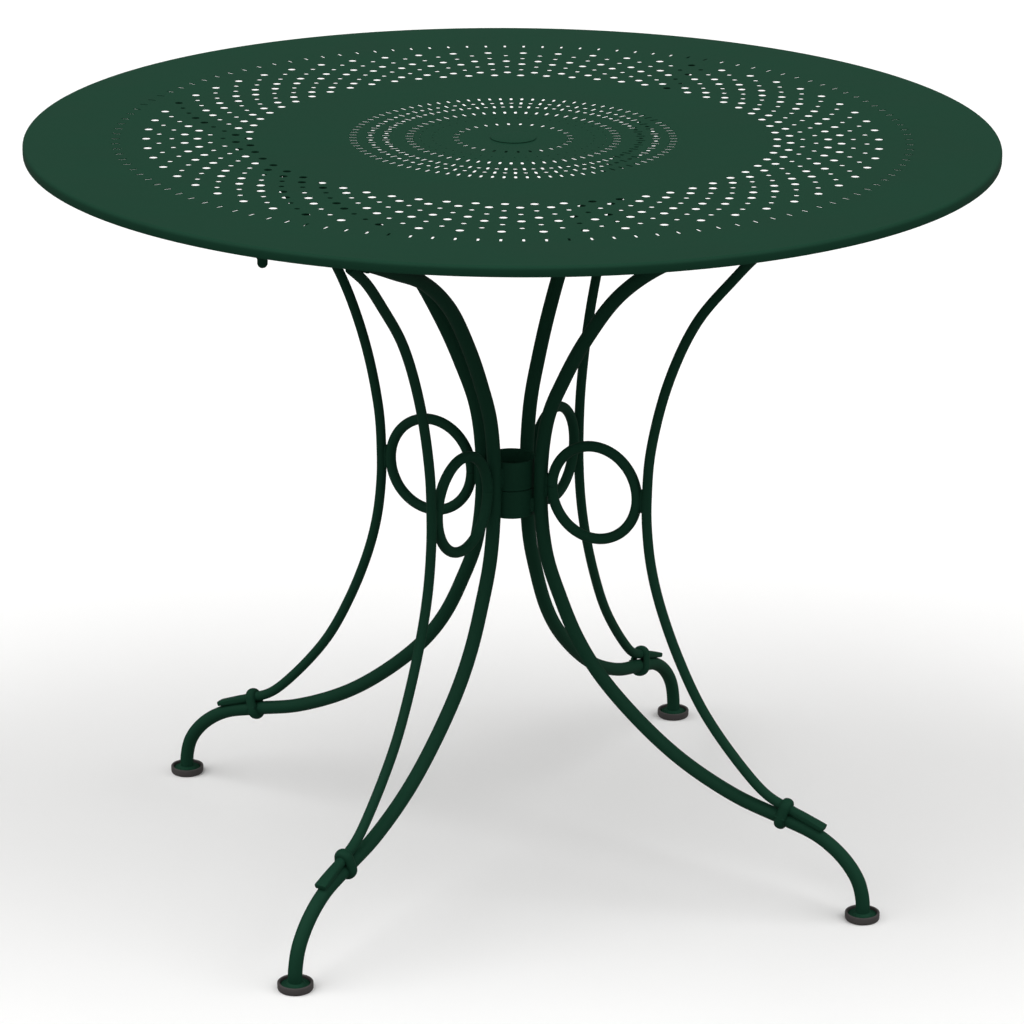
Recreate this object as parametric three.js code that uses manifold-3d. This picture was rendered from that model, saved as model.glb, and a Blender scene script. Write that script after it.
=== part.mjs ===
// A round metal bistro table, in millimetres, +Z up, origin on the floor under the table's centre.
// A dished sheet top with a turned-down lip is bolted to four S-shaped legs. Each leg is a thick
// round bar, a thinner rod bowed outside it, a scroll ring held between the two, and a collar that
// clips them together above the foot. Two stacked ring halves of a parasol hub join the legs in
// opposite pairs, and a plug closes the parasol hole in the top.
import * as THREE from 'three';
import { mergeVertices } from 'three/addons/utils/BufferGeometryUtils.js';
import Module from 'manifold-3d';

const wasm = await Module();
wasm.setup();

// Driving dimensions.
const TOP_RADIUS = 475;
const TABLE_HEIGHT = 758.4;
const DISH_DEPTH = 5.4;
const SHEET = 0.6;
const EDGE_RADIUS = 3.5;
const LIP_HEIGHT = 9.8;
const BAR_RADIUS = 7.1;
const ROD_RADIUS = 5.05;
// Solids that touch on the real table stay GAP apart, and welded round bars WELD_GAP apart.
const GAP = 0.3;
const WELD_GAP = 0.45;

const FOOT_RADIUS = 395;
const GLIDE_RADIUS = 17.4;
const GLIDE_HEIGHT = 7.6;
const GLIDE_WALL = 2.6;
const GLIDE_FLOOR = 2.2;
const GLIDE_BEVEL = 1.5;
const DISC_RADIUS = 14.5;
const DISC_TOP = 5.2;

const HUB_RADIUS = 24.6;
const HUB_WALL = 2;
const HUB_SEAM = 395.8;
const HUB_SEAM_GAP = 0.6;
const HUB_LOWER_HEIGHT = 28.6;
const HUB_UPPER_HEIGHT = 29.8;
const HUB_WELD_RING_ANGLE = 10;
const HUB_WELD_BAR_ANGLE = 32;
const HUB_BAR_REACH = 32.8;

const RING_RADIUS = 52.2;
const RING_HALF_HEIGHT = 54.1;
const RING_BAR_RADIUS = 5.4;
const RING_HEIGHT = 401.5;
const RING_REACH = HUB_BAR_REACH + BAR_RADIUS + WELD_GAP + RING_RADIUS;
const ROD_REACH = RING_REACH + RING_RADIUS + WELD_GAP + ROD_RADIUS;

const COLLAR_REACH = 306;
const COLLAR_LEVEL = 91.6;
const COLLAR_WIDTH = 10;
const COLLAR_THICKNESS = 4;
const COLLAR_GAP = 0.8;
const ROD_OVER_BAR = BAR_RADIUS + ROD_RADIUS + WELD_GAP;
const BAR_SLOPE = THREE.MathUtils.degToRad(-15.6);
const CHISEL_REACH = 336;
const CHISEL_LEVEL = 101;
const CHISEL_ANGLE = 38;

const BOLT_REACH = 430;
const BAR_END_LEVEL = 748.2;
const STUD_RADIUS = 3;
const STUD_HOLE_RADIUS = 3.4;
const STUD_IN_NUT = 9;
const WASHER_RADIUS = 8;
const WASHER_THICKNESS = 1.6;
const NUT_ACROSS_FLATS = 10;
const NUT_HEX_HEIGHT = 5.2;
const NUT_DOME_RADIUS = 4.75;
const NUT_HEIGHT = 13.8;

const PLUG_HOLE_RADIUS = 20.9;
const PLUG_SKIRT_RADIUS = 20.5;
const PLUG_HEAD_RADIUS = 22.4;
const PLUG_WALL = 2;
const PLUG_HEAD_HEIGHT = 1.5;
const PLUG_BEVEL_WIDTH = 4;
const PLUG_BEVEL_HEIGHT = 0.8;
const PLUG_SKIRT_BOTTOM = 737;

// The legs' places, counted anticlockwise from the +X axis. Opposite legs share a hub ring. The
// collar's seam is on the leg's left side for seam 1 and on its right side for -1, looking outward.
const LEGS = [
  { place: 'back_left', azimuth: 152.2, weldBottom: 370, weldTop: 387, seam: 1 },
  { place: 'front_left', azimuth: 238.9, weldBottom: 398, weldTop: 421, seam: -1 },
  { place: 'front_right', azimuth: 333.3, weldBottom: 370, weldTop: 387, seam: -1 },
  { place: 'back_right', azimuth: 62.3, weldBottom: 398, weldTop: 421, seam: 1 },
];

// Centreline of a thick bar from its foot to its end under the top, as [reach, height].
const BAR_LINE = [
  [FOOT_RADIUS, DISC_TOP + GAP], [FOOT_RADIUS, 18], [389, 40], [372, 62], [345, 80],
  [COLLAR_REACH, COLLAR_LEVEL], [255, 105], [197, 131], [150, 163], [104, 205], [77, 241],
  [56, 284], [39.5, 330], [HUB_BAR_REACH, 400], [40, 470], [58, 515], [82, 560], [117, 609],
  [162, 645], [216, 669], [285, 698], [370, 734], [390, 742], [408, BAR_END_LEVEL - 0.6],
  [424, BAR_END_LEVEL], [443, BAR_END_LEVEL],
];

// Centreline of a thin rod from its chisel end above the foot to its end under the thick bar.
const ROD_LINE = [
  [352, 91.5], [330, 97.7], [COLLAR_REACH + 3.4, COLLAR_LEVEL + 12.2], [288, 113.3], [261, 137],
  [218, 188], [189, 240], [167, 294], [156, 335], [ROD_REACH + 0.6, 375], [ROD_REACH, 405],
  [153.5, 453], [171, 527], [200, 593], [237, 641], [264, 671], [290, 691],
];

const green = new THREE.MeshStandardMaterial({ color: 0x24443a, roughness: 0.55, metalness: 0.1 });
const black = new THREE.MeshStandardMaterial({ color: 0x1c1b1b, roughness: 0.7, metalness: 0 });
const steel = new THREE.MeshStandardMaterial({ color: 0x8d9190, roughness: 0.35, metalness: 1 });

const table = new THREE.Group();

function addMesh(parent, name, geometry, material) {
  const mesh = new THREE.Mesh(geometry, material);
  mesh.name = name;
  parent.add(mesh);
  return mesh;
}

// A solid turned about the Z axis from a closed or axis-to-axis profile of [radius, height].
function turned(profile, segments) {
  const points = profile.map(([radius, height]) => new THREE.Vector2(radius, height));
  return new THREE.LatheGeometry(points, segments).rotateX(Math.PI / 2);
}

function cylinder(radius, bottom, top, sides) {
  const geometry = new THREE.CylinderGeometry(radius, radius, top - bottom, sides);
  return geometry.rotateX(Math.PI / 2).translate(0, 0, (bottom + top) / 2);
}

function arcPoints(centre, radius, from, to, count) {
  return Array.from({ length: count + 1 }, (_, i) => {
    const angle = THREE.MathUtils.degToRad(from + ((to - from) * i) / count);
    return [centre[0] + radius * Math.cos(angle), centre[1] + radius * Math.sin(angle)];
  });
}

// A round bar bent along a centreline in the leg's upright plane.
function bentBar(line, radius, sides, steps) {
  const points = line.map(([reach, height]) => new THREE.Vector3(reach, height, 0));
  const path = new THREE.CatmullRomCurve3(points, false, 'centripetal');
  path.arcLengthDivisions = 1000;
  const circle = arcPoints([0, 0], radius, 0, 360 * (1 - 1 / sides), sides - 1);
  const section = new THREE.Shape(circle.map(([x, y]) => new THREE.Vector2(x, y)));
  const options = { steps, extrudePath: path, bevelEnabled: false };
  return new THREE.ExtrudeGeometry(section, options).rotateX(Math.PI / 2);
}

function toSolid(geometry) {
  const bare = geometry.clone();
  bare.deleteAttribute('normal');
  bare.deleteAttribute('uv');
  const merged = mergeVertices(bare, 1e-3);
  const vertProperties = Float32Array.from(merged.attributes.position.array);
  const triVerts = Uint32Array.from(merged.index.array);
  return new wasm.Manifold(new wasm.Mesh({ numProp: 3, vertProperties, triVerts }));
}

function toGeometry(solid) {
  const mesh = solid.getMesh();
  const geometry = new THREE.BufferGeometry();
  geometry.setAttribute('position', new THREE.BufferAttribute(mesh.vertProperties, 3));
  geometry.setIndex(new THREE.BufferAttribute(mesh.triVerts, 1));
  geometry.computeVertexNormals();
  return geometry;
}

function cut(geometry, ...tools) {
  return toGeometry(tools.reduce((solid, tool) => solid.subtract(toSolid(tool)), toSolid(geometry)));
}

// Height of the dished sheet's upper face at a given radius.
function dishHeight(radius) {
  return TABLE_HEIGHT - DISH_DEPTH * (1 - radius / (TOP_RADIUS - EDGE_RADIUS));
}

function tabletop() {
  const crest = TOP_RADIUS - EDGE_RADIUS;
  const inside = TOP_RADIUS - SHEET;
  const bendCentre = [crest, TABLE_HEIGHT - EDGE_RADIUS];
  return turned([
    [PLUG_HOLE_RADIUS, dishHeight(PLUG_HOLE_RADIUS) - SHEET],
    ...arcPoints(bendCentre, EDGE_RADIUS - SHEET, 90, 0, 2),
    [inside, TABLE_HEIGHT - LIP_HEIGHT],
    [TOP_RADIUS, TABLE_HEIGHT - LIP_HEIGHT],
    ...arcPoints(bendCentre, EDGE_RADIUS, 0, 90, 3),
    [PLUG_HOLE_RADIUS, dishHeight(PLUG_HOLE_RADIUS)],
    [PLUG_HOLE_RADIUS, dishHeight(PLUG_HOLE_RADIUS) - SHEET],
  ], 80);
}

// The parasol hole's plug: a shallow head on a hollow skirt that is open below.
function parasolPlug() {
  const headBottom = dishHeight(PLUG_HEAD_RADIUS) + GAP;
  const headTop = headBottom + PLUG_HEAD_HEIGHT;
  return turned([
    [0, headTop - PLUG_WALL],
    [PLUG_SKIRT_RADIUS - PLUG_WALL, headTop - PLUG_WALL],
    [PLUG_SKIRT_RADIUS - PLUG_WALL, PLUG_SKIRT_BOTTOM],
    [PLUG_SKIRT_RADIUS, PLUG_SKIRT_BOTTOM],
    [PLUG_SKIRT_RADIUS, headBottom],
    [PLUG_HEAD_RADIUS, headBottom],
    [PLUG_HEAD_RADIUS, headTop - PLUG_BEVEL_HEIGHT],
    [PLUG_HEAD_RADIUS - PLUG_BEVEL_WIDTH, headTop],
    [0, headTop],
  ], 32);
}

function hubRing(bottom, top) {
  return turned([
    [HUB_RADIUS - HUB_WALL, bottom],
    [HUB_RADIUS, bottom],
    [HUB_RADIUS, top],
    [HUB_RADIUS - HUB_WALL, top],
    [HUB_RADIUS - HUB_WALL, bottom],
  ], 32);
}

// The weld between a hub ring and a bar, filling the space between their round sides.
function hubWeld(bottom, top) {
  const spread = HUB_WELD_BAR_ANGLE;
  const ringSide = arcPoints([0, 0], HUB_RADIUS + GAP, HUB_WELD_RING_ANGLE, -HUB_WELD_RING_ANGLE, 3);
  const barSide = arcPoints([HUB_BAR_REACH, 0], BAR_RADIUS + GAP, 180 + spread, 180 - spread, 4);
  const outline = new THREE.Shape([...ringSide, ...barSide].map(([x, y]) => new THREE.Vector2(x, y)));
  const geometry = new THREE.ExtrudeGeometry(outline, { depth: top - bottom, bevelEnabled: false });
  return geometry.translate(0, 0, bottom);
}

function legBar() {
  const drill = cylinder(STUD_HOLE_RADIUS, BAR_END_LEVEL - 20, BAR_END_LEVEL + 20, 12);
  return cut(bentBar(BAR_LINE, BAR_RADIUS, 8, 46), drill.translate(BOLT_REACH, 0, 0));
}

// The rod's upper end is scooped to the bar's underside and its lower end is a sloping chisel cut.
function scrollRod() {
  const fatBar = bentBar(BAR_LINE, BAR_RADIUS + GAP, 8, 46);
  const chisel = new THREE.BoxGeometry(60, 40, 40).translate(30, 0, 20);
  chisel.rotateY(THREE.MathUtils.degToRad(CHISEL_ANGLE)).translate(CHISEL_REACH, 0, CHISEL_LEVEL);
  return cut(bentBar(ROD_LINE, ROD_RADIUS, 8, 28), fatBar, chisel);
}

// The ring is a little taller than it is wide.
function scrollRing() {
  const ring = new THREE.TorusGeometry(RING_RADIUS - RING_BAR_RADIUS, RING_BAR_RADIUS, 8, 26);
  ring.rotateX(Math.PI / 2).scale(1, 1, RING_HALF_HEIGHT / RING_RADIUS);
  return ring.translate(RING_REACH, 0, RING_HEIGHT);
}

// A half-round strip bent round the bar and the rod, with its two ends butted beside the bar.
function collar(seam) {
  const inset = COLLAR_GAP + COLLAR_THICKNESS / 2;
  const big = BAR_RADIUS + inset;
  const small = ROD_RADIUS + inset;
  const lean = THREE.MathUtils.radToDeg(Math.asin((big - small) / ROD_OVER_BAR));
  const loop = [
    ...arcPoints([0, 0], big, -2, -180 - lean, 9),
    ...arcPoints([0, ROD_OVER_BAR], small, 180 - lean, lean, 7),
    ...arcPoints([0, 0], big, lean, 2, 1),
  ];
  const clockwise = seam > 0 ? loop : loop.map(([x, y]) => [-x, y]).reverse();
  const path = new THREE.CatmullRomCurve3(clockwise.map(([x, y]) => new THREE.Vector3(x, y, 0)), false);
  const halfRound = arcPoints([0, 0], 1, 0, 180, 4);
  const section = new THREE.Shape(halfRound.map(([x, y]) => new THREE.Vector2(
    x * (COLLAR_WIDTH / 2),
    (y - 0.5) * COLLAR_THICKNESS,
  )));
  const geometry = new THREE.ExtrudeGeometry(section, { steps: 24, extrudePath: path, bevelEnabled: false });
  const across = new THREE.Vector3(0, 1, 0);
  const along = new THREE.Vector3(Math.cos(BAR_SLOPE), 0, Math.sin(BAR_SLOPE));
  const up = new THREE.Vector3().crossVectors(along, across);
  const place = new THREE.Matrix4().makeBasis(across, up, along);
  return geometry.applyMatrix4(place.setPosition(COLLAR_REACH, 0, COLLAR_LEVEL));
}

// A plastic cup under each foot. The steel foot disc lies inside its rim.
function glide() {
  const inner = GLIDE_RADIUS - GLIDE_WALL;
  return turned([
    [0, 0],
    [GLIDE_RADIUS - GLIDE_BEVEL, 0],
    [GLIDE_RADIUS, GLIDE_BEVEL],
    [GLIDE_RADIUS, GLIDE_HEIGHT],
    [inner, GLIDE_HEIGHT],
    [inner, GLIDE_FLOOR],
    [0, GLIDE_FLOOR],
  ], 24);
}

function capNut(top) {
  const seat = top - NUT_HEX_HEIGHT;
  const waist = top - NUT_HEIGHT + NUT_DOME_RADIUS;
  const hexRadius = NUT_ACROSS_FLATS / 2 / Math.cos(Math.PI / 6);
  const hex = cylinder(hexRadius, seat, top, 6);
  const dome = turned([
    ...arcPoints([0, waist], NUT_DOME_RADIUS, -90, 0, 3),
    [NUT_DOME_RADIUS, seat + 1],
    [0, seat + 1],
  ], 12);
  const bore = cylinder(STUD_RADIUS + GAP, top - STUD_IN_NUT - 1, top + 5, 12);
  return toGeometry(toSolid(hex).add(toSolid(dome)).subtract(toSolid(bore)));
}

function addFastener(leg, place) {
  const washerTop = BAR_END_LEVEL - BAR_RADIUS - GAP;
  const washerBottom = washerTop - WASHER_THICKNESS;
  const nutTop = washerBottom - GAP;
  const studTop = dishHeight(BOLT_REACH - STUD_RADIUS) - SHEET - GAP;
  const stud = cylinder(STUD_RADIUS, nutTop - STUD_IN_NUT, studTop, 12);
  const washer = turned([
    [STUD_RADIUS + GAP, washerBottom],
    [WASHER_RADIUS, washerBottom],
    [WASHER_RADIUS, washerTop],
    [STUD_RADIUS + GAP, washerTop],
    [STUD_RADIUS + GAP, washerBottom],
  ], 16);
  addMesh(leg, `top_stud_${place}`, stud, steel).position.x = BOLT_REACH;
  addMesh(leg, `washer_${place}`, washer, steel).position.x = BOLT_REACH;
  addMesh(leg, `cap_nut_${place}`, capNut(nutTop), green).position.x = BOLT_REACH;
}

function addLeg({ place, azimuth, weldBottom, weldTop, seam }) {
  const leg = new THREE.Group();
  leg.rotation.z = THREE.MathUtils.degToRad(azimuth);
  table.add(leg);
  addMesh(leg, `leg_bar_${place}`, legBar(), green);
  addMesh(leg, `scroll_rod_${place}`, scrollRod(), green);
  addMesh(leg, `scroll_ring_${place}`, scrollRing(), green);
  addMesh(leg, `collar_${place}`, collar(seam), green);
  addMesh(leg, `hub_weld_${place}`, hubWeld(weldBottom, weldTop), green);
  addFastener(leg, place);
  const disc = cylinder(DISC_RADIUS, GLIDE_FLOOR + GAP, DISC_TOP, 24);
  addMesh(leg, `foot_disc_${place}`, disc, green).position.x = FOOT_RADIUS;
  addMesh(leg, `glide_${place}`, glide(), black).position.x = FOOT_RADIUS;
}

addMesh(table, 'tabletop', tabletop(), green);
addMesh(table, 'parasol_plug', parasolPlug(), green);
const seamTop = HUB_SEAM + HUB_SEAM_GAP / 2;
const seamBottom = HUB_SEAM - HUB_SEAM_GAP / 2;
addMesh(table, 'hub_ring_upper', hubRing(seamTop, seamTop + HUB_UPPER_HEIGHT), green);
addMesh(table, 'hub_ring_lower', hubRing(seamBottom - HUB_LOWER_HEIGHT, seamBottom), green);
LEGS.forEach(addLeg);

export default table;
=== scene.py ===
"""Looks for a round metal bistro table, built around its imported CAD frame. Metres, +Z up."""

import math

import bmesh
import bpy
from mathutils import Matrix, Vector
from mathutils.geometry import delaunay_2d_cdt


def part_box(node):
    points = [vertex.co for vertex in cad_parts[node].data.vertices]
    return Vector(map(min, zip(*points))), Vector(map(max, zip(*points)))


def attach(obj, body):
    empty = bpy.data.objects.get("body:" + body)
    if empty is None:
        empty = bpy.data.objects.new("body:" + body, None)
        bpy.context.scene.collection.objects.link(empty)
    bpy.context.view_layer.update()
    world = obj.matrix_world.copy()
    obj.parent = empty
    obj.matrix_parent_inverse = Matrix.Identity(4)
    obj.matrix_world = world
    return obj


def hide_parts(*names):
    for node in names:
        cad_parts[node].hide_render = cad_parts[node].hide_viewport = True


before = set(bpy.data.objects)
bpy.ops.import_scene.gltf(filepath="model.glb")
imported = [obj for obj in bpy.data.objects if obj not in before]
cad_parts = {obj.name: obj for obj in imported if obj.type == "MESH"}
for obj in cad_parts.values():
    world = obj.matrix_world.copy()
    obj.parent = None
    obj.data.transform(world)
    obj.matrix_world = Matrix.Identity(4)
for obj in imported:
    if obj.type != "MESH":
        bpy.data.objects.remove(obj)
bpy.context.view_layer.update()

MM = 0.001
PLACES = ("back_left", "front_left", "front_right", "back_right")
TABLE, PLUG = "table", "plug"


# ---------------------------------------------------------------- sizes from the frame


def node_size(node):
    low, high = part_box(node)
    return high - low


def node_centre(node):
    low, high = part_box(node)
    return (low + high) / 2


TOP_LOW, TOP_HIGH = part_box("tabletop")
TOP_RADIUS = TOP_HIGH.x
TOP_EDGE_RADIUS = 3.5 * MM
SHEET = 0.6 * MM
DISH_DEPTH = 5.4 * MM
DISH_RIM = TOP_RADIUS - TOP_EDGE_RADIUS
PLUG_LOW, PLUG_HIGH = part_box("parasol_plug")
PLUG_HEAD_RADIUS = PLUG_HIGH.x
PLUG_SKIRT_RADIUS = 20.5 * MM
PLUG_HOLE_RADIUS = 20.9 * MM
HUB_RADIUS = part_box("hub_ring_upper")[1].x
HUB_WALL = 2 * MM
BAR_RADIUS = 7.1 * MM
ROD_RADIUS = 5.05 * MM
RING_BAR_RADIUS = 5.4 * MM
GLIDE_RADIUS = node_size("glide_front_left").x / 2
GLIDE_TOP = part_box("glide_front_left")[1].z
DISC_LOW, DISC_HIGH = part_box("foot_disc_front_left")
DISC_RADIUS = node_size("foot_disc_front_left").x / 2
RING_HALF_HEIGHT = node_size("scroll_ring_front_left").z / 2
RING_RADIUS = 52.2 * MM
RING_CENTRE = Vector((node_centre("scroll_ring_front_left").to_2d().length,
                      node_centre("scroll_ring_front_left").z))
HUB_BAR_REACH = 32.8 * MM
PLUG_WALL = 2 * MM
PLUG_CROWN = 0.6 * MM
PLUG_EDGE_RADIUS = 0.6 * MM
GLIDE_WALL = 2.6 * MM
GLIDE_FLOOR = 2.2 * MM
THREAD_PITCH = 1 * MM
THREAD_CREST = 3 * MM
THREAD_ROOT = 2.45 * MM
# Radius of the holes that the studs go through, in the washers and the nuts.
STUD_BORE = 3.3 * MM
WASHER_RADIUS = 8 * MM
NUT_HEX_HEIGHT = 5.2 * MM
NUT_FLAT_RADIUS = 5 * MM
NUT_DOME_RADIUS = 4.75 * MM
NUT_BORE_DEPTH = 9 * MM


def azimuth(place):
    foot = node_centre("glide_" + place)
    return math.atan2(foot.y, foot.x)


def mm(*pairs):
    return [Vector(pair) * MM for pair in pairs]


COLLAR_POINT = Vector((306, 91.6)) * MM
BAR_SLOPE = math.radians(-15.6)
BAR_LINE = mm((395, 5.1), (395, 18), (389, 40), (372, 62), (345, 80), (306, 91.6), (255, 105),
              (197, 131), (150, 163), (104, 205), (77, 241), (56, 284), (39.5, 330), (32.8, 400),
              (40, 470), (58, 515), (82, 560), (117, 609), (162, 645), (216, 669), (285, 698),
              (370, 734), (390, 742), (408, 747.6), (424, 748.2), (443, 748.2))
ROD_LINE = mm((352, 91.5), (330, 97.7), (309.4, 103.8), (288, 113.3), (261, 137), (218, 188),
              (189, 240), (167, 294), (156, 335), (150.9, 375), (150.3, 405), (153.5, 453),
              (171, 527), (200, 593), (237, 641), (264, 671), (290, 691))


# ---------------------------------------------------------------- mesh helpers


def arc(centre, radius, start, end, count):
    """Points on an arc from start to end degrees, both included."""
    angles = [math.radians(start + (end - start) * i / count) for i in range(count + 1)]
    return [Vector((centre[0] + radius * math.cos(a), centre[1] + radius * math.sin(a)))
            for a in angles]


def smooth_line(points, step):
    """A centripetal Catmull-Rom curve through the points, sampled about every step metres."""
    padded = [2 * points[0] - points[1], *points, 2 * points[-1] - points[-2]]
    line = []
    for a, b, c, d in zip(padded, padded[1:], padded[2:], padded[3:]):
        ab, bc, cd = (math.sqrt((q - p).length) for p, q in ((a, b), (b, c), (c, d)))
        leave = ((b - a) / ab - (c - a) / (ab + bc) + (c - b) / bc) * bc
        arrive = ((c - b) / bc - (d - b) / (bc + cd) + (d - c) / cd) * bc
        count = math.ceil((c - b).length / step)
        for i in range(count):
            t = i / count
            line.append((2 * t**3 - 3 * t**2 + 1) * b + (t**3 - 2 * t**2 + t) * leave
                        + (3 * t**2 - 2 * t**3) * c + (t**3 - t**2) * arrive)
    line.append(points[-1])
    return line


def directions(line, closed=False):
    """The unit direction of a line at each of its points."""
    count = len(line)
    result = []
    for i in range(count):
        before = line[i - 1] if closed or i > 0 else line[i]
        after = line[(i + 1) % count] if closed or i < count - 1 else line[i]
        result.append((after - before).normalized())
    return result


def skin(mesh, rings, closed=False, caps=True):
    """Joins rings of points with faces, and closes the two ends unless the rings close up."""
    loops = [[mesh.verts.new(point) for point in ring] for ring in rings]
    pairs = list(zip(loops, loops[1:])) + ([(loops[-1], loops[0])] if closed else [])
    for one, two in pairs:
        for i in range(len(one)):
            j = (i + 1) % len(one)
            mesh.faces.new((one[i], one[j], two[j], two[i]))
    if caps and not closed:
        mesh.faces.new(list(reversed(loops[0])))
        mesh.faces.new(loops[-1])


def round_section(radius, sides):
    return arc((0, 0), radius, 0, 360 * (1 - 1 / sides), sides - 1)


def sweep(mesh, line, sections, closed=False):
    """Sweeps a section along a line in the leg's upright plane. Each section point is (up, across)
    from the line, where up is square to the line in that plane."""
    rings = []
    for point, along, section in zip(line, directions(line, closed), sections):
        up = Vector((-along.y, along.x))
        rings.append([Vector((point.x + up.x * u, w, point.y + up.y * u)) for u, w in section])
    skin(mesh, rings, closed)


def rounded_ends(line, radius, edge):
    """Section scales that round off both ends of a bar, and the line with its end points added."""
    first, last = (line[1] - line[0]).normalized(), (line[-1] - line[-2]).normalized()
    steps = [(edge * (1 - math.cos(a)), 1 - edge / radius * (1 - math.sin(a)))
             for a in (0.0, 0.4, 0.8, 1.2, math.pi / 2)]
    head = [(line[0] + first * run, scale) for run, scale in steps]
    tail = [(line[-1] - last * run, scale) for run, scale in reversed(steps)]
    middle = [(p, 1.0) for p in line
              if (p - line[0]).length > edge * 1.5 and (p - line[-1]).length > edge * 1.5]
    both = head + middle + tail
    return [p for p, _ in both], [scale for _, scale in both]


def turn(mesh, profile, segments, centre=(0.0, 0.0), wobble=None):
    """Turns a profile of (radius, height) about an upright axis. A radius of 0 is a pole."""
    loops = []
    for radius, height in profile:
        if radius < 1e-7:
            loops.append([mesh.verts.new((centre[0], centre[1], height))])
            continue
        ring = []
        for i in range(segments):
            a = math.tau * i / segments
            r, z = (radius, height) if wobble is None else wobble(radius, height, a)
            ring.append(mesh.verts.new((centre[0] + r * math.cos(a), centre[1] + r * math.sin(a), z)))
        loops.append(ring)
    for one, two in zip(loops, loops[1:]):
        for i in range(segments):
            j = (i + 1) % segments
            corners = [one[i % len(one)], one[j % len(one)], two[j % len(two)], two[i % len(two)]]
            mesh.faces.new(list(dict.fromkeys(corners)))


def turn_closed(mesh, profile, segments, centre=(0.0, 0.0)):
    """Turns a profile that closes on itself."""
    turn(mesh, [*profile, profile[0]], segments, centre)
    bmesh.ops.remove_doubles(mesh, verts=mesh.verts, dist=1e-7)


def softened(corners, radius, steps=3):
    """A closed outline of straight sides with every corner rounded."""
    outline = []
    count = len(corners)
    points = [Vector(corner) for corner in corners]
    for i, corner in enumerate(points):
        into = points[i - 1] - corner
        out = points[(i + 1) % count] - corner
        cut = min(radius, into.length * 0.45, out.length * 0.45)
        start, end = corner + into.normalized() * cut, corner + out.normalized() * cut
        for k in range(steps + 1):
            t = k / steps
            outline.append((1 - t) ** 2 * start + 2 * t * (1 - t) * corner + t * t * end)
    return outline


def turned_leg(mesh, place):
    mesh.transform(Matrix.Rotation(azimuth(place), 4, "Z"))


def make_piece(name, mesh, material, body, nodes=(), crease=35):
    """Turns a bmesh into a named piece that rides on a body and stands for CAD nodes."""
    bmesh.ops.recalc_face_normals(mesh, faces=mesh.faces)
    data = bpy.data.meshes.new(name)
    mesh.to_mesh(data)
    mesh.free()
    data.polygons.foreach_set("use_smooth", [True] * len(data.polygons))
    data.set_sharp_from_angle(angle=math.radians(crease))
    data.materials.append(material)
    piece = bpy.data.objects.new(name, data)
    bpy.context.scene.collection.objects.link(piece)
    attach(piece, body)
    if nodes:
        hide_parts(*nodes)
    return piece


# ---------------------------------------------------------------- materials


def new_material(name):
    material = bpy.data.materials.new(name)
    material.use_nodes = True
    nodes, links = material.node_tree.nodes, material.node_tree.links
    return material, nodes, links, nodes["Principled BSDF"]


def noise(nodes, links, coordinates, scale, detail=2.0):
    texture = nodes.new("ShaderNodeTexNoise")
    texture.inputs["Scale"].default_value = scale
    texture.inputs["Detail"].default_value = detail
    links.new(coordinates.outputs["Object"], texture.inputs["Vector"])
    return texture.outputs["Fac"]


def remap(nodes, links, value, low, high):
    """Stretches the useful middle of a noise value to run from low to high."""
    node = nodes.new("ShaderNodeMapRange")
    node.inputs["From Min"].default_value = 0.3
    node.inputs["From Max"].default_value = 0.7
    node.inputs["To Min"].default_value = low
    node.inputs["To Max"].default_value = high
    links.new(value, node.inputs["Value"])
    return node.outputs["Result"]


def blend_colours(nodes, links, value, dark, light):
    ramp = nodes.new("ShaderNodeValToRGB")
    ramp.color_ramp.elements[0].position = 0.3
    ramp.color_ramp.elements[0].color = (*dark, 1)
    ramp.color_ramp.elements[1].position = 0.7
    ramp.color_ramp.elements[1].color = (*light, 1)
    links.new(value, ramp.inputs["Fac"])
    return ramp.outputs["Color"]


def surface(name, dark, light, patch, roughness, grain, relief, metallic=0.0, specular=0.5):
    """A finish with slow colour patches, uneven roughness and a fine grain in relief."""
    material, nodes, links, shader = new_material(name)
    coordinates = nodes.new("ShaderNodeTexCoord")
    patches = noise(nodes, links, coordinates, patch, 4)
    fine = noise(nodes, links, coordinates, grain, 2)
    links.new(blend_colours(nodes, links, patches, dark, light), shader.inputs["Base Color"])
    links.new(remap(nodes, links, patches, *roughness), shader.inputs["Roughness"])
    bump = nodes.new("ShaderNodeBump")
    bump.inputs["Strength"].default_value = 0.5
    bump.inputs["Distance"].default_value = relief
    links.new(fine, bump.inputs["Height"])
    links.new(bump.outputs["Normal"], shader.inputs["Normal"])
    shader.inputs["Metallic"].default_value = metallic
    shader.inputs["Specular IOR Level"].default_value = specular
    return material


paint = surface("green_powder_coat", (0.0084, 0.0415, 0.0236), (0.0092, 0.0445, 0.0254), 14,
                (0.52, 0.60), 900, 0.03 * MM, specular=0.03)
plastic = surface("black_moulded_plastic", (0.044, 0.041, 0.040), (0.054, 0.050, 0.049), 60,
                  (0.48, 0.62), 1500, 0.02 * MM, specular=0.4)
zinc = surface("zinc_plated_steel", (0.40, 0.41, 0.40), (0.52, 0.52, 0.50), 120,
               (0.28, 0.42), 2500, 0.01 * MM, metallic=1.0)


# ---------------------------------------------------------------- tabletop and plug


def dish_height(radius):
    return TOP_HIGH.z - DISH_DEPTH * (1 - radius / DISH_RIM)


def round_hole(diameter):
    return round_section(diameter / 2, 16 if diameter > 6 * MM else 12)


def slot_hole(length, width):
    """A slot with round ends that runs along the radius when length is its radial size."""
    half = abs(length - width) / 2
    end = min(length, width) / 2
    ends = arc((half, 0), end, -90, 90, 5) + arc((-half, 0), end, 90, 270, 5)
    return ends if length > width else [Vector((-p.y, p.x)) for p in ends]


BIG, SMALL = round_hole(8.2 * MM), round_hole(5.6 * MM)


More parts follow.
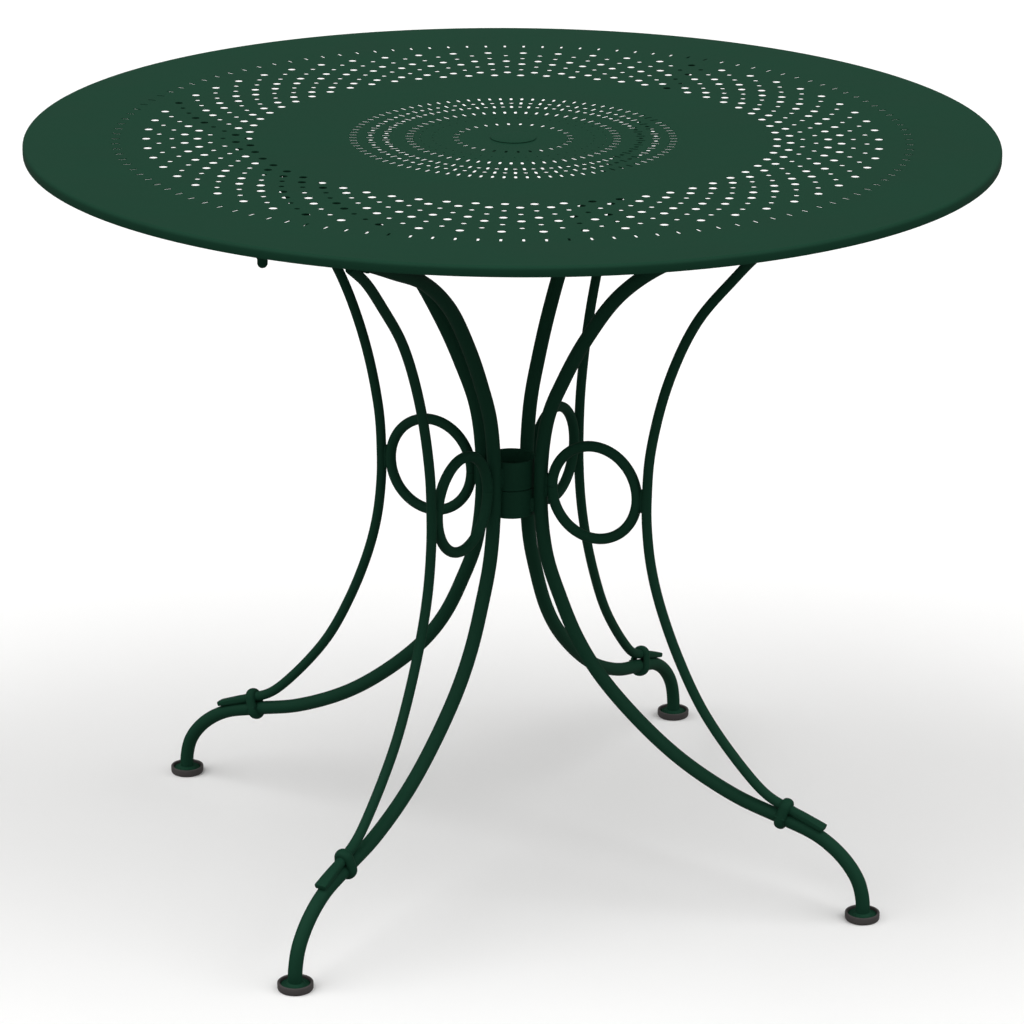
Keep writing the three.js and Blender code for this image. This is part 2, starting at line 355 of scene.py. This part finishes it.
def pierced_rings():
    """Every ring of holes as (radius, count, first angle in degrees, outlines in turn)."""
    for i in range(9):
        radius = 257.6 + 12.35 * i + (0.35 if i % 2 else 0)
        outline = SMALL if i // 2 % 2 else BIG
        yield radius, 60, 1.4 if i % 2 else -1.6, [outline]
    yield 386.0, 120, 1.44, [slot_hole(9 * MM, 2.5 * MM)]
    yield 156.4, 90, -1.1, [slot_hole(9 * MM, 2.8 * MM)]
    yield 139.6, 90, -1.1, [slot_hole(9.5 * MM, 2.9 * MM), round_hole(5 * MM)]
    yield 124.6, 90, -1.1, [round_hole(5 * MM), slot_hole(9.5 * MM, 2.9 * MM)]
    yield 101.6, 60, -1.1, [slot_hole(9.4 * MM, 2.8 * MM)]
    yield 91.0, 45, -1.1, [slot_hole(1.4 * MM, 2.6 * MM)]
    yield 79.0, 45, -1.1, [round_hole(1.8 * MM)]
    yield 56.0, 30, -1.1, [slot_hole(7.6 * MM, 2.8 * MM)]


RIM_SEGMENTS = 240
SHEET_EDGE = 450 * MM
PLAIN_RINGS = (30, 40, 48, 66, 72, 111, 172, 184, 196, 208, 220, 232, 244, 372, 400, 412, 424, 437)


def circle(radius, count, phase=0.0):
    return [Vector((radius * math.cos(a), radius * math.sin(a)))
            for a in (math.tau * (i + phase) / count for i in range(count))]


def sheet_outlines():
    """The outline of every hole in the sheet, the parasol hole first."""
    outlines = [circle(PLUG_HOLE_RADIUS, 64)]
    for radius, count, first, shapes in pierced_rings():
        for i in range(count):
            turn_by = Matrix.Rotation(math.radians(first + 360 * i / count), 2)
            shape = shapes[i % len(shapes)]
            outlines.append([turn_by @ (p + Vector((radius * MM, 0))) for p in shape])
    return outlines


def pierced_sheet(mesh):
    """The dished sheet out to SHEET_EDGE, with every hole cut through its thickness."""
    points, edges, owner = [], [], []
    for index, outline in enumerate([circle(SHEET_EDGE, RIM_SEGMENTS), *sheet_outlines()]):
        first, count = len(points), len(outline)
        points += outline
        owner += [index] * count
        edges += [(first + i, first + (i + 1) % count) for i in range(count)]
    for k, radius in enumerate(PLAIN_RINGS):
        ring = circle(radius * MM, max(24, round(radius / 2.4)), 0.5 * (k % 2))
        points += ring
        owner += [0] * len(ring)
    flat, _, faces, origins, _, _ = delaunay_2d_cdt(points, edges, [], 0, 1e-7)
    hole = [owner[origin[0]] for origin in origins]
    kept = [f for f in faces if not (hole[f[0]] > 0 and len({hole[v] for v in f}) == 1)]
    heights = [dish_height(p.length) for p in flat]
    upper = [mesh.verts.new((*p, z)) for p, z in zip(flat, heights)]
    lower = [mesh.verts.new((*p, z - SHEET)) for p, z in zip(flat, heights)]
    sides = {}
    for a, b, c in kept:
        mesh.faces.new((upper[a], upper[b], upper[c]))
        mesh.faces.new((lower[c], lower[b], lower[a]))
        for pair in ((a, b), (b, c), (c, a)):
            sides[pair] = True
    for a, b in sides:
        if (b, a) not in sides and hole[a] > 0:
            mesh.faces.new((upper[b], upper[a], lower[a], lower[b]))


def tabletop():
    mesh = bmesh.new()
    pierced_sheet(mesh)
    bend = (DISH_RIM, TOP_HIGH.z - TOP_EDGE_RADIUS)
    hem = TOP_RADIUS - SHEET / 2
    plain = [SHEET_EDGE + (DISH_RIM - SHEET_EDGE) * k for k in (0, 0.33, 0.66, 0.9)]
    profile = [Vector((r, dish_height(r))) for r in plain]
    profile += arc(bend, TOP_EDGE_RADIUS, 90, 0, 8)
    profile += arc((hem, TOP_LOW.z + SHEET / 2), SHEET / 2, 0, -180, 4)
    profile += arc(bend, TOP_EDGE_RADIUS - SHEET, 0, 90, 5)
    profile += [Vector((r, dish_height(r) - SHEET)) for r in reversed(plain)]
    turn(mesh, profile, RIM_SEGMENTS)
    bmesh.ops.remove_doubles(mesh, verts=mesh.verts, dist=2e-6)
    make_piece("pierced_tabletop", mesh, paint, TABLE, ["tabletop"], crease=45)


def parasol_plug():
    """A low crowned cap on a hollow skirt that is open below."""
    mesh = bmesh.new()
    top, head_low = PLUG_HIGH.z, dish_height(PLUG_HEAD_RADIUS) + 0.05 * MM
    inner, roof = PLUG_SKIRT_RADIUS - PLUG_WALL, head_low - 0.5 * MM
    edge = PLUG_EDGE_RADIUS
    profile = [Vector((0, top))]
    profile += [Vector((r * MM, top - PLUG_CROWN * (r / 22) ** 4)) for r in (8, 14, 18, 20)]
    profile += arc((PLUG_HEAD_RADIUS - edge, head_low + edge), edge, 60, -60, 5)
    profile += [Vector(point) for point in (
        (PLUG_SKIRT_RADIUS + 0.5 * MM, head_low),
        (PLUG_SKIRT_RADIUS, head_low),
        (PLUG_SKIRT_RADIUS, PLUG_LOW.z + 1 * MM),
        (PLUG_SKIRT_RADIUS - 0.7 * MM, PLUG_LOW.z),
        (inner, PLUG_LOW.z),
        (inner, head_low - 1.2 * MM),
        (inner - 1 * MM, roof),
        (0, roof),
    )]
    turn(mesh, profile, 96)
    make_piece("parasol_plug_cap", mesh, paint, PLUG, ["parasol_plug"])


# ---------------------------------------------------------------- legs


def bent_bar(name, place, line, radius, nodes, edge=1.2 * MM, sides=28):
    mesh = bmesh.new()
    path, scales = rounded_ends(smooth_line(line, 4 * MM), radius, edge)
    sweep(mesh, path, [[p * scale for p in round_section(radius, sides)] for scale in scales])
    turned_leg(mesh, place)
    make_piece(name, mesh, paint, TABLE, nodes)


def leg_bar(place):
    bent_bar("round_leg_bar_" + place, place, BAR_LINE, BAR_RADIUS, ["leg_bar_" + place])


# The rod is forged flat past the collar: its depth falls and its width grows towards the tip.
FORGED_LENGTH = 42 * MM
TIP_DEPTH = 5.2 * MM
TIP_WIDTH = 12.4 * MM


def forged_section(share, sides):
    """The rod's section, round at share 0 and a flat rounded blade at share 1."""
    ease = share * share * (3 - 2 * share)
    depth = ROD_RADIUS + (TIP_DEPTH / 2 - ROD_RADIUS) * share
    width = ROD_RADIUS + (TIP_WIDTH / 2 - ROD_RADIUS) * ease
    power = 1 + 1.6 * ease
    section = []
    for i in range(sides):
        a = math.tau * i / sides
        c, s = math.cos(a), math.sin(a)
        section.append(Vector((math.copysign(abs(c) ** (1 / power), c) * depth,
                               math.copysign(abs(s) ** (1 / power), s) * width)))
    return section


def scroll_rod(place):
    mesh = bmesh.new()
    path, scales = rounded_ends(smooth_line(ROD_LINE, 4 * MM), ROD_RADIUS, 0.7 * MM)
    run = 0.0
    line, sections = [], []
    facing = directions(path)
    for i, (point, scale) in enumerate(zip(path, scales)):
        run += (point - path[i - 1]).length if i else 0.0
        share = max(0.0, 1 - run / FORGED_LENGTH)
        depth = ROD_RADIUS + (TIP_DEPTH / 2 - ROD_RADIUS) * share
        up = Vector((-facing[i].y, facing[i].x))
        line.append(point + up * (ROD_RADIUS - depth))
        sections.append([p * scale for p in forged_section(share, 28)])
    sweep(mesh, line, sections)
    turned_leg(mesh, place)
    make_piece("bowed_scroll_rod_" + place, mesh, paint, TABLE, ["scroll_rod_" + place])


def scroll_ring(place):
    """A bar bent into a ring, its two ends butted where it touches the thick bar."""
    mesh = bmesh.new()
    tall = (RING_HALF_HEIGHT - RING_BAR_RADIUS) / (RING_RADIUS - RING_BAR_RADIUS)
    loop = arc((0, 0), RING_RADIUS - RING_BAR_RADIUS, -179.8, 179.8, 110)
    line = [RING_CENTRE + Vector((p.x, p.y * tall)) for p in loop]
    path, scales = rounded_ends(line, RING_BAR_RADIUS, 0.4 * MM)
    section = round_section(RING_BAR_RADIUS, 24)
    sweep(mesh, path, [[p * scale for p in section] for scale in scales])
    turned_leg(mesh, place)
    make_piece("round_scroll_ring_" + place, mesh, paint, TABLE, ["scroll_ring_" + place])


def bead(mesh, start, end, across, size):
    """A weld bead with a rippled surface, from start to end, both points in the leg's plane."""
    count = 22
    line, sections = [], []
    for i in range(count + 1):
        t = i / count
        swell = math.sqrt(max(0.02, 1 - (2 * t - 1) ** 4)) * (1 + 0.07 * math.sin(i * 2.1))
        line.append(start.lerp(end, t))
        sections.append([Vector((p.x * size[0] * swell, across + p.y * size[1] * swell))
                         for p in round_section(1, 12)])
    sweep(mesh, line, sections)


def ring_welds(place):
    mesh = bmesh.new()
    half = Vector((0, 12.5 * MM))
    inner = RING_CENTRE - Vector((RING_RADIUS + 0.2 * MM, 0))
    outer = RING_CENTRE + Vector((RING_RADIUS + 0.2 * MM, 0))
    for contact in (inner, outer):
        for side in (-1, 1):
            bead(mesh, contact - half, contact + half, side * 1.5 * MM, (1.7 * MM, 1.6 * MM))
    turned_leg(mesh, place)
    make_piece("ring_welds_" + place, mesh, paint, TABLE)


def rod_end_weld(place):
    """Beads along both sides of the rod's upper end, where it runs into the bar."""
    mesh = bmesh.new()
    start, end = mm((262, 680.5), (288, 692.5))
    for side in (-1, 1):
        bead(mesh, start, end, side * 3.0 * MM, (1.8 * MM, 1.8 * MM))
    turned_leg(mesh, place)
    make_piece("rod_end_weld_" + place, mesh, paint, TABLE)


COLLAR_WIDTH = 11 * MM
COLLAR_THICKNESS = 4.4 * MM
ROD_OVER_BAR = BAR_RADIUS + ROD_RADIUS + 0.45 * MM
SEAM_SIDE = {"back_left": 1, "front_left": -1, "front_right": -1, "back_right": 1}


def collar(place):
    """A half-round strip bent round bar and rod, with its ends butted at the side of the bar."""
    mesh = bmesh.new()
    inset = 0.2 * MM + COLLAR_THICKNESS / 2
    big, small = BAR_RADIUS + inset, ROD_RADIUS + inset
    lean = math.degrees(math.asin((big - small) / ROD_OVER_BAR))
    loop = arc((0, 0), big, 22, 180 - lean - 360, 30)
    loop += arc((0, ROD_OVER_BAR), small, 180 - lean, lean, 20)
    loop += arc((0, 0), big, lean, 24.5, 2)
    if SEAM_SIDE[place] < 0:
        loop = [Vector((-p.x, p.y)) for p in reversed(loop)]
    half_round = [Vector((COLLAR_WIDTH / 2 * math.cos(a), COLLAR_THICKNESS * (math.sin(a) ** 0.8 - 0.5)))
                  for a in (math.pi * i / 10 for i in range(11))]
    across = Vector((0, 1, 0))
    along = Vector((math.cos(BAR_SLOPE), 0, math.sin(BAR_SLOPE)))
    up = along.cross(across)
    centre = Vector((COLLAR_POINT.x, 0, COLLAR_POINT.y))
    path, scales = rounded_ends(loop, COLLAR_THICKNESS, 0.5 * MM)
    rings = []
    for point, facing, scale in zip(path, directions(path), scales):
        outward = Vector((-facing.y, facing.x))
        ring = []
        for p in half_round:
            spot = point + outward * p.y * scale
            ring.append(centre + across * spot.x + up * spot.y + along * p.x * scale)
        rings.append(ring)
    skin(mesh, rings)
    turned_leg(mesh, place)
    make_piece("half_round_collar_" + place, mesh, paint, TABLE, ["collar_" + place], crease=50)


# ---------------------------------------------------------------- hub


def hub_ring(which):
    low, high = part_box("hub_ring_" + which)
    mesh = bmesh.new()
    corners = [(HUB_RADIUS - HUB_WALL, low.z), (HUB_RADIUS, low.z), (HUB_RADIUS, high.z),
               (HUB_RADIUS - HUB_WALL, high.z)]
    turn_closed(mesh, softened(corners, 0.9 * MM), 96)
    make_piece(f"hub_ring_{which}_turned", mesh, paint, TABLE, ["hub_ring_" + which])


def hub_weld(place):
    """A rippled fillet that fills the space between a hub ring and a bar."""
    low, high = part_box("hub_weld_" + place)
    mesh = bmesh.new()
    layers = 26
    rings = []
    for k in range(layers + 1):
        t = k / layers
        swell = math.sqrt(max(0.03, 1 - (2 * t - 1) ** 6)) * (1 + 0.05 * math.sin(k * 1.9))
        height = low.z + (high.z - low.z) * t
        ring_side = arc((0, 0), HUB_RADIUS - 0.4 * MM, 13 * swell, -13 * swell, 5)
        bar_side = arc((HUB_BAR_REACH, 0), BAR_RADIUS - 0.4 * MM, 180 + 40 * swell, 180 - 40 * swell, 7)
        rings.append([Vector((p.x, p.y, height)) for p in ring_side + bar_side])
    skin(mesh, rings)
    turned_leg(mesh, place)
    make_piece("hub_weld_bead_" + place, mesh, paint, TABLE, ["hub_weld_" + place])


# ---------------------------------------------------------------- feet and fasteners


def foot(place):
    centre = node_centre("glide_" + place).to_2d()
    disc = bmesh.new()
    top, low = DISC_HIGH.z, DISC_LOW.z
    turn(disc, [(0, low), (DISC_RADIUS - 0.5 * MM, low), (DISC_RADIUS, low + 0.5 * MM),
                (DISC_RADIUS, top - 0.6 * MM), (DISC_RADIUS - 0.2 * MM, top - 0.2 * MM),
                (DISC_RADIUS - 0.7 * MM, top), (0, top)], 64, centre)
    make_piece("steel_foot_disc_" + place, disc, paint, TABLE, ["foot_disc_" + place])

    weld = bmesh.new()

    def ripple(radius, height, angle):
        wave = 1 + 0.05 * math.sin(angle * 17) + 0.10 * math.sin(angle * 2 + len(place))
        return BAR_RADIUS + (radius - BAR_RADIUS) * wave, height

    fillet = [(BAR_RADIUS - 0.5 * MM, top + 2.6 * MM), (BAR_RADIUS + 0.4 * MM, top + 2.4 * MM),
              (BAR_RADIUS + 1.4 * MM, top + 1.6 * MM), (BAR_RADIUS + 2.6 * MM, top + 0.8 * MM),
              (BAR_RADIUS + 3.2 * MM, top), (BAR_RADIUS + 2.6 * MM, top - 0.4 * MM),
              (BAR_RADIUS - 0.5 * MM, top - 0.4 * MM)]
    turn(weld, fillet, 64, centre, ripple)
    make_piece("foot_weld_" + place, weld, paint, TABLE)

    glide = bmesh.new()
    inner = GLIDE_RADIUS - GLIDE_WALL
    turn(glide, [(0, 0), (GLIDE_RADIUS - 1.8 * MM, 0), (GLIDE_RADIUS - 0.7 * MM, 0.4 * MM),
                 (GLIDE_RADIUS - 0.1 * MM, 1.5 * MM), (GLIDE_RADIUS, 2.4 * MM),
                 (GLIDE_RADIUS, GLIDE_TOP - 0.7 * MM), (GLIDE_RADIUS - 0.2 * MM, GLIDE_TOP - 0.2 * MM),
                 (GLIDE_RADIUS - 0.7 * MM, GLIDE_TOP), (inner + 0.5 * MM, GLIDE_TOP),
                 (inner, GLIDE_TOP - 0.5 * MM), (inner, GLIDE_FLOOR), (0, GLIDE_FLOOR)], 72, centre)
    make_piece("moulded_glide_" + place, glide, plastic, TABLE, ["glide_" + place])


def fasteners(place):
    centre = node_centre("top_stud_" + place).to_2d()
    low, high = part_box("top_stud_" + place)
    stud = bmesh.new()
    pitch, crest, root = THREAD_PITCH, THREAD_CREST, THREAD_ROOT
    profile = [(0, low.z), (root, low.z)]
    for i in range(int((high.z - low.z - 4 * MM) / pitch)):
        z = low.z + pitch * i
        profile += [(root, z + 0.1 * MM), (crest, z + 0.5 * MM), (root, z + 0.9 * MM)]
    profile += [(crest, high.z - 3.4 * MM), (crest, high.z), (0, high.z)]
    turn(stud, profile, 32, centre)
    make_piece("threaded_stud_" + place, stud, zinc, TABLE, ["top_stud_" + place])

    low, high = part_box("washer_" + place)
    washer = bmesh.new()
    corners = [(STUD_BORE, low.z), (WASHER_RADIUS, low.z), (WASHER_RADIUS, high.z), (STUD_BORE, high.z)]
    turn_closed(washer, softened(corners, 0.3 * MM), 48, centre)
    make_piece("flat_washer_" + place, washer, zinc, TABLE, ["washer_" + place])

    low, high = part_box("cap_nut_" + place)
    nut = bmesh.new()
    seat, flat, dome = high.z - NUT_HEX_HEIGHT, NUT_FLAT_RADIUS, NUT_DOME_RADIUS
    bore_end = high.z - NUT_BORE_DEPTH
    corner = flat / math.cos(math.pi / 6)
    segments = 48

    def hexagon(radius, height, angle):
        """Pulls a ring in to the six flats where it is wider than they are."""
        nearest = (angle - azimuth(place)) % (math.pi / 3) - math.pi / 6
        return min(radius, flat / math.cos(nearest)), height

    profile = [(STUD_BORE, bore_end), (STUD_BORE, high.z - 0.4 * MM), (3.7 * MM, high.z),
               (flat - 0.2 * MM, high.z), (corner, high.z - 0.9 * MM), (corner, seat + 0.9 * MM),
               (flat - 0.1 * MM, seat), (dome, seat - 0.3 * MM)]
    profile += [tuple(p) for p in arc((0, low.z + dome), dome, 0, -90, 8)]
    turn(nut, [(0, bore_end), *profile], segments, centre, hexagon)
    make_piece("domed_cap_nut_" + place, nut, paint, TABLE, ["cap_nut_" + place])


tabletop()
parasol_plug()
hub_ring("upper")
hub_ring("lower")
for leg in PLACES:
    leg_bar(leg)
    scroll_rod(leg)
    scroll_ring(leg)
    ring_welds(leg)
    rod_end_weld(leg)
    collar(leg)
    hub_weld(leg)
    foot(leg)
    fasteners(leg)


# ---------------------------------------------------------------- stage, light and camera


def floor():
    mesh = bmesh.new()
    bmesh.ops.create_grid(mesh, x_segments=2, y_segments=2, size=40)
    data = bpy.data.meshes.new("floor")
    mesh.to_mesh(data)
    mesh.free()
    plane = bpy.data.objects.new("floor", data)
    material = surface("pale_floor", (0.90, 0.90, 0.90), (0.91, 0.91, 0.91), 3,
                       (0.85, 0.95), 400, 0.05 * MM, specular=0.1)
    data.materials.append(material)
    plane.location.z = -0.05 * MM
    bpy.context.scene.collection.objects.link(plane)
    plane.visible_diffuse = False
    plane.visible_glossy = False


def sun(name, direction_degrees, height_degrees, strength, softness):
    """A soft light from far away, at an azimuth counted like the legs' and a height."""
    lamp = bpy.data.lights.new(name, "SUN")
    lamp.energy = strength
    lamp.angle = math.radians(softness)
    a, e = math.radians(direction_degrees), math.radians(height_degrees)
    source = Vector((math.cos(a) * math.cos(e), math.sin(a) * math.cos(e), math.sin(e)))
    thing = bpy.data.objects.new(name, lamp)
    thing.rotation_mode = "QUATERNION"
    thing.rotation_quaternion = source.to_track_quat("Z", "Y")
    bpy.context.scene.collection.objects.link(thing)


def lighting():
    world = bpy.data.worlds.new("studio")
    world.use_nodes = True
    world.node_tree.nodes["Background"].inputs["Color"].default_value = (1, 0.98, 0.95, 1)
    world.node_tree.nodes["Background"].inputs["Strength"].default_value = 0.27
    bpy.context.scene.world = world
    sun("overhead", 250, 76, 0.6, 60)
    sun("left", 195, 50, 1.5, 55)
    sun("right", 345, 50, 1.5, 55)
    sun("front", 265, 25, 0.55, 60)


CAMERA_AIM = Vector((0, 0, 0.3972))
CAMERA_DISTANCE = 3.9125
CAMERA_HEIGHT_ANGLE = math.radians(19.101)
CAMERA_TILT = math.radians(19.542)
CAMERA_YAW = math.radians(0.867)
CAMERA_ROLL = math.radians(0.62)


def camera():
    data = bpy.data.cameras.new("camera")
    data.sensor_width = 36
    data.lens = 136.6
    data.shift_x = -0.0533
    data.shift_y = 0.001
    data.clip_end = 200
    thing = bpy.data.objects.new("camera", data)
    forward = Vector((math.sin(CAMERA_YAW) * math.cos(CAMERA_TILT),
                      math.cos(CAMERA_YAW) * math.cos(CAMERA_TILT), -math.sin(CAMERA_TILT)))
    right = Vector((math.cos(CAMERA_YAW), -math.sin(CAMERA_YAW), 0))
    up = right.cross(forward)
    across = right * math.cos(CAMERA_ROLL) + up * math.sin(CAMERA_ROLL)
    above = up * math.cos(CAMERA_ROLL) - right * math.sin(CAMERA_ROLL)
    place = Matrix((across, above, -forward)).transposed().to_4x4()
    back = Vector((0, -math.cos(CAMERA_HEIGHT_ANGLE), math.sin(CAMERA_HEIGHT_ANGLE)))
    place.translation = CAMERA_AIM + back * CAMERA_DISTANCE
    thing.matrix_world = place
    bpy.context.scene.collection.objects.link(thing)
    bpy.context.scene.camera = thing


floor()
lighting()
camera()
bpy.context.scene.view_settings.view_transform = "Standard"
bpy.context.view_layer.update()
